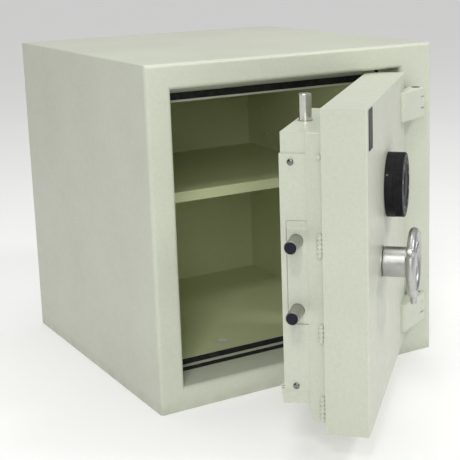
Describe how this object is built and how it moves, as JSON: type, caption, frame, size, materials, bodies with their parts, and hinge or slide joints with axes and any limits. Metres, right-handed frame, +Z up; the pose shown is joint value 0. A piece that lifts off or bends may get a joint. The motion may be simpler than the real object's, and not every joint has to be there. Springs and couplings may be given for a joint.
{
  "type": "fire-resistant safe",
  "caption": "Free-standing fire-resistant safe with a stepped side-hinged door, combination dial, handwheel-driven live bolts, a stepped sealed frame and one shelf.",
  "frame": {"origin": "centre of the cabinet's base on the floor", "axes": "+Z up, -Y the door side of the cabinet, +X to the right as seen from the front"},
  "size_m": [0.555, 0.8983, 0.57],
  "materials": {
    "cream_paint": "textured powder coat, cream with a green tinge",
    "filling": "cast fire-resistant filling, hidden",
    "seal": "matt black heat-swelling seal",
    "steel": "bare machined steel",
    "bolt_steel": "satin chromed round bolt",
    "satin_metal": "satin nickel casting",
    "screw_chrome": "bright plated screw",
    "dial_black": "semi-matt black with white figures",
    "plate_metal": "blank dark satin plate",
    "brass": "machined brass"
  },
  "bodies": {
    "cabinet": {"outer_casing": "cream_paint", "back_plate": "cream_paint", "base_plate": "cream_paint", "frame_left": "cream_paint", "frame_right": "cream_paint", "frame_top": "cream_paint", "frame_bottom": "cream_paint", "fill_left": "filling", "fill_right": "filling", "fill_top": "filling", "fill_bottom": "filling", "fill_back": "filling", "inner_liner": "cream_paint", "outer_seal": "seal", "inner_seal": "seal", "bolt_keepers": "steel", "anchor_sleeve": "steel", "anchor_cap": "cream_paint", "shelf": "cream_paint", "shelf_clips": "steel", "hinge_lug_upper": "cream_paint", "hinge_lug_lower": "cream_paint", "hinge_pins": "steel", "hinge_washers": "steel"},
    "door": {"door_pan": "cream_paint", "door_infill": "filling", "door_back_plate": "cream_paint", "step_pan": "cream_paint", "step_infill": "filling", "spindle_sleeves": "steel", "bolt_box": "cream_paint", "bolt_box_cover": "cream_paint", "box_foot": "cream_paint", "box_blocks": "steel", "door_screws": "screw_chrome", "edge_plate": "cream_paint", "edge_guide_plate": "cream_paint", "bolt_collar": "steel", "dog_bars": "steel", "weld_beads": "cream_paint", "hinge_block_upper": "cream_paint", "hinge_block_lower": "cream_paint", "name_plate": "plate_metal", "dial_ring": "dial_black", "handle_collar": "steel", "lock_case": "steel", "lock_cover": "steel", "relocker": "steel"},
    "handle": {"handwheel": "satin_metal", "handle_spindle": "steel", "drive_pinion": "steel", "retaining_ring": "steel"},
    "side_bolt_set": {"bolt_carriage": "steel", "side_bolts": "bolt_steel", "bolt_screws": "screw_chrome"},
    "top_bolt_set": {"top_bolt": "bolt_steel"},
    "dial": {"dial_knob": "dial_black", "dial_spindle": "steel", "wheel_pack": "brass"},
    "lock_tongue": {"lock_bolt": "brass"}
  },
  "joints": [
    {"name": "door_hinge", "type": "hinge", "parent": "cabinet", "child": "door", "pos_m": [0.229, -0.2995, 0.2835], "axis": [0, 0, 1], "range_deg": [-46, 66]},
    {"name": "handle_turn", "type": "hinge", "parent": "door", "child": "handle", "pos_m": [-0.00413, -0.51644, 0.2695], "axis": [0.7193, -0.6947, 0], "range_deg": [0, 90]},
    {"name": "side_bolt_slide", "type": "slide", "parent": "door", "child": "side_bolt_set", "axis": [0.6947, 0.7193, 0], "range_m": [0, 0.0354]},
    {"name": "top_bolt_slide", "type": "slide", "parent": "door", "child": "top_bolt_set", "axis": [0, 0, -1], "range_m": [0, 0.0354]},
    {"name": "lock_tongue_slide", "type": "slide", "parent": "door", "child": "lock_tongue", "axis": [0, 0, 1], "range_m": [0, 0.0101]},
    {"name": "dial_turn", "type": "hinge", "parent": "door", "child": "dial", "pos_m": [0.04693, -0.46357, 0.374], "axis": [0.7193, -0.6947, 0], "continuous": true}
  ],
  "couplings": [
    {"joint": "side_bolt_slide", "follows": "handle_turn", "m_per_rad": 0.0225},
    {"joint": "top_bolt_slide", "follows": "handle_turn", "m_per_rad": 0.0225},
    {"joint": "lock_tongue_slide", "follows": "handle_turn", "m_per_rad": 0.0063662}
  ]
}
